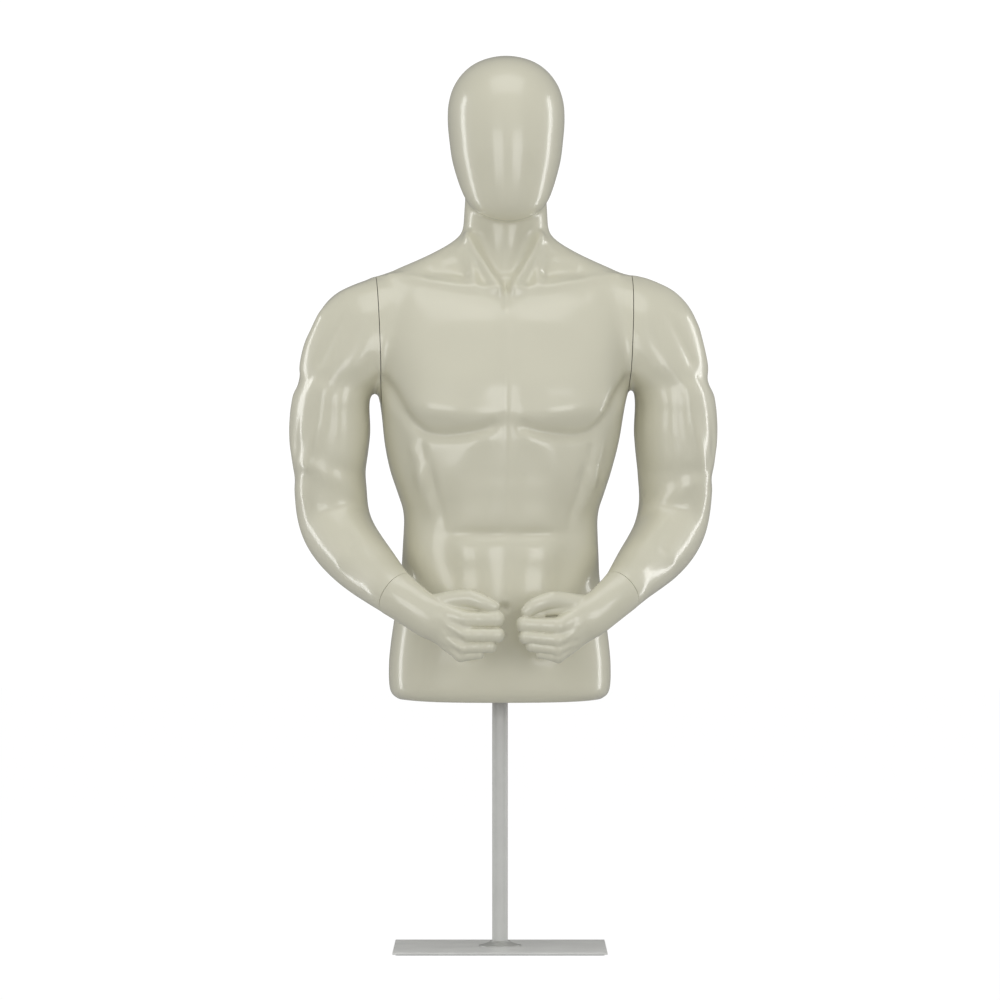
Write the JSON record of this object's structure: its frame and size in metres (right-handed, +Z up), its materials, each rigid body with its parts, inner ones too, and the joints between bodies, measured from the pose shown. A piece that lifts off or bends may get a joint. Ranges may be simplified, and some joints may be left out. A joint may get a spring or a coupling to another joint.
{
  "type": "display mannequin torso on stand",
  "caption": "Faceless male torso mannequin with lift-off flexed arms and closed fists, turning on a round pole with a flat square base.",
  "frame": {"origin": "centre of the underside of the square base, on the pole's axis", "axes": "+Z up along the pole, -Y towards the side the figure faces, +X towards the figure's left"},
  "size_m": [0.6013, 0.3513, 1.2639],
  "materials": {
    "body_gloss": "gloss",
    "stand_grey": "satin",
    "mat_rubber": "matt",
    "nylon": "matt",
    "plywood": "raw",
    "brass": "turned",
    "zinc_steel": "zinc plated"
  },
  "bodies": {
    "stand": {"base_mat": "mat_rubber", "base_plate": "stand_grey", "pole_flange": "stand_grey", "flange_screws": "zinc_steel", "pole": "stand_grey", "pole_grub_screw": "zinc_steel", "pole_end_cap": "nylon"},
    "collar": {"stop_collar": "zinc_steel", "thrust_washer": "nylon"},
    "clamp_screw": {"clamp_screw": "zinc_steel"},
    "torso": {"torso_shell": "body_gloss", "bottom_panel": "plywood", "pole_socket": "zinc_steel", "socket_bolts": "zinc_steel", "socket_nuts": "zinc_steel", "left_shoulder_socket": "zinc_steel", "right_shoulder_socket": "zinc_steel", "left_socket_screws": "zinc_steel", "right_socket_screws": "zinc_steel"},
    "left_shoulder_stud": {"left_shoulder_stud": "zinc_steel", "left_friction_washer": "nylon"},
    "left_arm": {"left_arm_shell": "body_gloss", "left_arm_plate": "zinc_steel", "left_arm_plate_screws": "zinc_steel", "left_stud_nut": "zinc_steel", "left_wrist_socket": "zinc_steel", "left_wrist_screws": "zinc_steel"},
    "left_wrist_stud": {"left_wrist_stud": "zinc_steel"},
    "left_hand": {"left_hand": "body_gloss", "left_hand_bush": "brass"},
    "right_shoulder_stud": {"right_shoulder_stud": "zinc_steel", "right_friction_washer": "nylon"},
    "right_arm": {"right_arm_shell": "body_gloss", "right_arm_plate": "zinc_steel", "right_arm_plate_screws": "zinc_steel", "right_stud_nut": "zinc_steel", "right_wrist_socket": "zinc_steel", "right_wrist_screws": "zinc_steel"},
    "right_wrist_stud": {"right_wrist_stud": "zinc_steel"},
    "right_hand": {"right_hand": "body_gloss", "right_hand_bush": "brass"}
  },
  "joints": [
    {"name": "torso_height", "type": "slide", "parent": "stand", "child": "collar", "axis": [0, 0, 1], "range_m": [0, 0.08]},
    {"name": "torso_turn", "type": "hinge", "parent": "collar", "child": "torso", "pos_m": [0, 0, 0.45], "axis": [0, 0, 1], "continuous": true},
    {"name": "clamp_screw_turn", "type": "hinge", "parent": "collar", "child": "clamp_screw", "pos_m": [-0.00144, 0.02496, 0.37], "axis": [-0.0576, 0.9983, 0], "continuous": true},
    {"name": "left_arm_pull", "type": "slide", "parent": "torso", "child": "left_shoulder_stud", "axis": [0.9977, 0.0575, -0.0366], "range_m": [0, 0.04]},
    {"name": "left_arm_swing", "type": "hinge", "parent": "left_shoulder_stud", "child": "left_arm", "pos_m": [0.18291, 0.01555, 0.874], "axis": [-0.9977, -0.0575, 0.0366], "range_deg": [0, 90]},
    {"name": "left_hand_pull", "type": "slide", "parent": "left_arm", "child": "left_wrist_stud", "axis": [-0.6259, -0.6069, -0.4899], "range_m": [0, 0.012]},
    {"name": "left_hand_twist", "type": "hinge", "parent": "left_wrist_stud", "child": "left_hand", "pos_m": [0.1734, -0.13224, 0.505], "axis": [-0.6259, -0.6069, -0.4899], "range_deg": [-40, 40]},
    {"name": "right_arm_pull", "type": "slide", "parent": "torso", "child": "right_shoulder_stud", "axis": [-0.9977, -0.0575, -0.0366], "range_m": [0, 0.04]},
    {"name": "right_arm_swing", "type": "hinge", "parent": "right_shoulder_stud", "child": "right_arm", "pos_m": [-0.1725, -0.00494, 0.874], "axis": [-0.9977, -0.0575, -0.0366], "range_deg": [0, 90]},
    {"name": "right_hand_pull", "type": "slide", "parent": "right_arm", "child": "right_wrist_stud", "axis": [0.6915, -0.5309, -0.4899], "range_m": [0, 0.012]},
    {"name": "right_hand_twist", "type": "hinge", "parent": "right_wrist_stud", "child": "right_hand", "pos_m": [-0.14607, -0.15066, 0.505], "axis": [0.6915, -0.5309, -0.4899], "range_deg": [-40, 40]}
  ]
}
